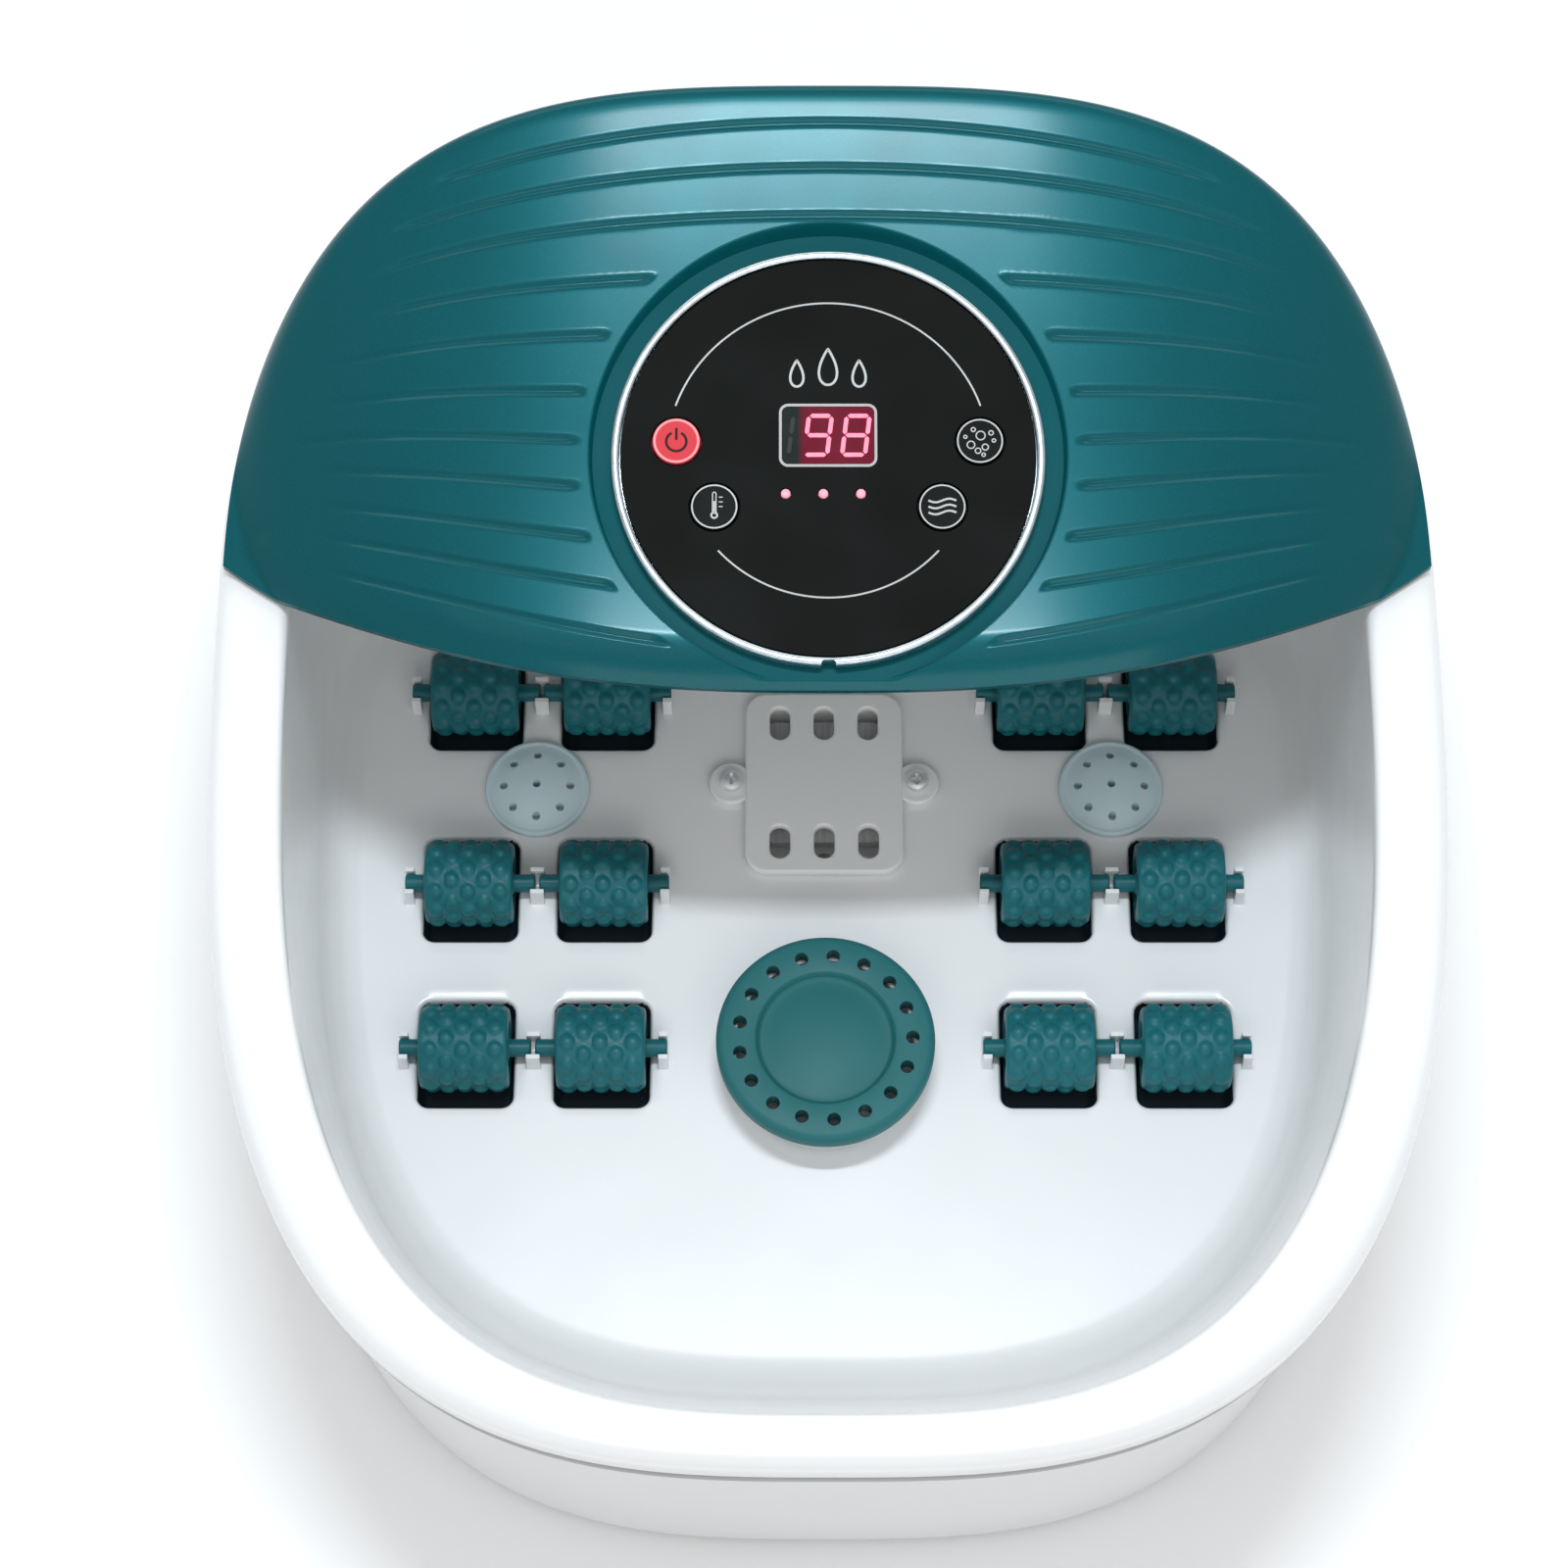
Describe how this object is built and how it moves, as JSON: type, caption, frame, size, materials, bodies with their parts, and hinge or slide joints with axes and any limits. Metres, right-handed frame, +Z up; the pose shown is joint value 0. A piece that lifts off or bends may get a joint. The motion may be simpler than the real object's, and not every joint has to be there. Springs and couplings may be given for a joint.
{
  "type": "pedicure foot bath",
  "caption": "Foot bath with a rounded white basin, a teal rear hood with a round control panel, foot rollers, a herb box and bubble vents",
  "frame": {"origin": "middle of the bounding box's footprint, on the surface the feet stand on", "axes": "+X to the user's right, +Y away from the user towards the hood, +Z up"},
  "size_m": [0.36, 0.4046, 0.213],
  "materials": {
    "basin_plastic": "smooth glossy white moulded plastic",
    "casing_plastic": "satin to glossy white moulded plastic",
    "base_plastic": "fine-textured white plastic, hidden underside",
    "hood_plastic": "glossy dark teal moulded plastic with a pearly sheen",
    "chrome_trim": "bright plated ring",
    "panel_gloss": "gloss black panel with thin white printed lines",
    "display_lens": "smoked window over red digits",
    "indicator_lens": "translucent lens, lit pink-red",
    "power_key_cap": "glossy red key cap",
    "key_cap": "gloss black key cap with a printed ring and pictogram",
    "circuit_board": "green solder mask with parts on it",
    "dark_plastic": "dark grey moulded plastic",
    "roller_plastic": "teal moulded plastic, wet",
    "vent_plastic": "teal moulded plastic",
    "herb_plastic": "teal moulded plastic",
    "hose_silicone": "translucent silicone hose",
    "screw_steel": "zinc-plated pan-head screw",
    "heater_steel": "stainless steel",
    "motor_steel": "plated motor can",
    "weight_steel": "plain steel",
    "wheel_plastic": "white moulded fan wheel",
    "foot_rubber": "dark rubber foot",
    "cable_jacket": "black cable jacket",
    "gland_rubber": "pale moulded cord gland"
  },
  "bodies": {
    "bath": {"basin": "basin_plastic", "lower_casing": "casing_plastic", "bottom_cover": "base_plastic", "hood": "hood_plastic", "panel_bezel": "chrome_trim", "control_panel": "panel_gloss", "display_window": "display_lens", "display_module": "dark_plastic", "indicator_light_guide": "indicator_lens", "control_board": "circuit_board", "panel_tray": "dark_plastic", "bubble_vent_left": "vent_plastic", "air_hose_left": "hose_silicone", "heater_cover_screw_left": "screw_steel", "hood_screw_left": "screw_steel", "base_screw_front_left": "screw_steel", "foot_front_left": "foot_rubber", "base_screw_rear_left": "screw_steel", "foot_rear_left": "foot_rubber", "bubble_vent_right": "vent_plastic", "air_hose_right": "hose_silicone", "heater_cover_screw_right": "screw_steel", "hood_screw_right": "screw_steel", "base_screw_front_right": "screw_steel", "foot_front_right": "foot_rubber", "base_screw_rear_right": "screw_steel", "foot_rear_right": "foot_rubber", "heater_cover": "basin_plastic", "herb_cup": "basin_plastic", "heater_plate": "heater_steel", "temperature_probe": "heater_steel", "thermal_cutout": "dark_plastic", "blower_housing": "dark_plastic", "blower_cover": "dark_plastic", "blower_motor": "motor_steel", "vibration_motor": "motor_steel", "motor_bracket": "dark_plastic", "power_board": "circuit_board", "panel_cable": "cable_jacket", "cord_gland": "gland_rubber"},
    "roller_front_left_inner": {"roller_front_left_inner": "roller_plastic"},
    "roller_front_left_outer": {"roller_front_left_outer": "roller_plastic"},
    "roller_middle_left_inner": {"roller_middle_left_inner": "roller_plastic"},
    "roller_middle_left_outer": {"roller_middle_left_outer": "roller_plastic"},
    "roller_rear_left_inner": {"roller_rear_left_inner": "roller_plastic"},
    "roller_rear_left_outer": {"roller_rear_left_outer": "roller_plastic"},
    "roller_front_right_inner": {"roller_front_right_inner": "roller_plastic"},
    "roller_front_right_outer": {"roller_front_right_outer": "roller_plastic"},
    "roller_middle_right_inner": {"roller_middle_right_inner": "roller_plastic"},
    "roller_middle_right_outer": {"roller_middle_right_outer": "roller_plastic"},
    "roller_rear_right_inner": {"roller_rear_right_inner": "roller_plastic"},
    "roller_rear_right_outer": {"roller_rear_right_outer": "roller_plastic"},
    "power_key": {"power_key": "power_key_cap"},
    "temperature_key": {"temperature_key": "key_cap"},
    "vibration_key": {"vibration_key": "key_cap"},
    "bubble_key": {"bubble_key": "key_cap"},
    "herb_lid": {"herb_lid": "herb_plastic"},
    "blower_wheel": {"blower_wheel": "wheel_plastic"},
    "eccentric_weight": {"eccentric_weight": "weight_steel"}
  },
  "joints": [
    {"name": "roller_front_left_inner_spin", "type": "hinge", "parent": "bath", "child": "roller_front_left_inner", "pos_m": [-0.069, -0.041, 0.037], "axis": [1, 0, 0], "continuous": true},
    {"name": "roller_front_left_outer_spin", "type": "hinge", "parent": "bath", "child": "roller_front_left_outer", "pos_m": [-0.111, -0.041, 0.037], "axis": [1, 0, 0], "continuous": true},
    {"name": "roller_middle_left_inner_spin", "type": "hinge", "parent": "bath", "child": "roller_middle_left_inner", "pos_m": [-0.069, 0.014, 0.037], "axis": [1, 0, 0], "continuous": true},
    {"name": "roller_middle_left_outer_spin", "type": "hinge", "parent": "bath", "child": "roller_middle_left_outer", "pos_m": [-0.111, 0.014, 0.037], "axis": [1, 0, 0], "continuous": true},
    {"name": "roller_rear_left_inner_spin", "type": "hinge", "parent": "bath", "child": "roller_rear_left_inner", "pos_m": [-0.069, 0.08, 0.037], "axis": [1, 0, 0], "continuous": true},
    {"name": "roller_rear_left_outer_spin", "type": "hinge", "parent": "bath", "child": "roller_rear_left_outer", "pos_m": [-0.111, 0.08, 0.037], "axis": [1, 0, 0], "continuous": true},
    {"name": "roller_front_right_inner_spin", "type": "hinge", "parent": "bath", "child": "roller_front_right_inner", "pos_m": [0.069, -0.041, 0.037], "axis": [1, 0, 0], "continuous": true},
    {"name": "roller_front_right_outer_spin", "type": "hinge", "parent": "bath", "child": "roller_front_right_outer", "pos_m": [0.111, -0.041, 0.037], "axis": [1, 0, 0], "continuous": true},
    {"name": "roller_middle_right_inner_spin", "type": "hinge", "parent": "bath", "child": "roller_middle_right_inner", "pos_m": [0.069, 0.014, 0.037], "axis": [1, 0, 0], "continuous": true},
    {"name": "roller_middle_right_outer_spin", "type": "hinge", "parent": "bath", "child": "roller_middle_right_outer", "pos_m": [0.111, 0.014, 0.037], "axis": [1, 0, 0], "continuous": true},
    {"name": "roller_rear_right_inner_spin", "type": "hinge", "parent": "bath", "child": "roller_rear_right_inner", "pos_m": [0.069, 0.08, 0.037], "axis": [1, 0, 0], "continuous": true},
    {"name": "roller_rear_right_outer_spin", "type": "hinge", "parent": "bath", "child": "roller_rear_right_outer", "pos_m": [0.111, 0.08, 0.037], "axis": [1, 0, 0], "continuous": true},
    {"name": "power_key_press", "type": "slide", "parent": "bath", "child": "power_key", "axis": [0, -0.1736, 0.9848], "range_m": [-0.0006, 0], "stiffness_N_per_m": 200},
    {"name": "temperature_key_press", "type": "slide", "parent": "bath", "child": "temperature_key", "axis": [0, -0.1736, 0.9848], "range_m": [-0.0006, 0], "stiffness_N_per_m": 200},
    {"name": "vibration_key_press", "type": "slide", "parent": "bath", "child": "vibration_key", "axis": [0, -0.1736, 0.9848], "range_m": [-0.0006, 0], "stiffness_N_per_m": 200},
    {"name": "bubble_key_press", "type": "slide", "parent": "bath", "child": "bubble_key", "axis": [0, -0.1736, 0.9848], "range_m": [-0.0006, 0], "stiffness_N_per_m": 200},
    {"name": "herb_lid_lift", "type": "slide", "parent": "bath", "child": "herb_lid", "axis": [0, 0, 1], "range_m": [0, 0.13]},
    {"name": "blower_wheel_spin", "type": "hinge", "parent": "bath", "child": "blower_wheel", "pos_m": [0, 0.164, 0.078], "axis": [0, 1, 0], "continuous": true},
    {"name": "eccentric_weight_spin", "type": "hinge", "parent": "bath", "child": "eccentric_weight", "pos_m": [0, -0.1, 0.018], "axis": [1, 0, 0], "continuous": true}
  ]
}
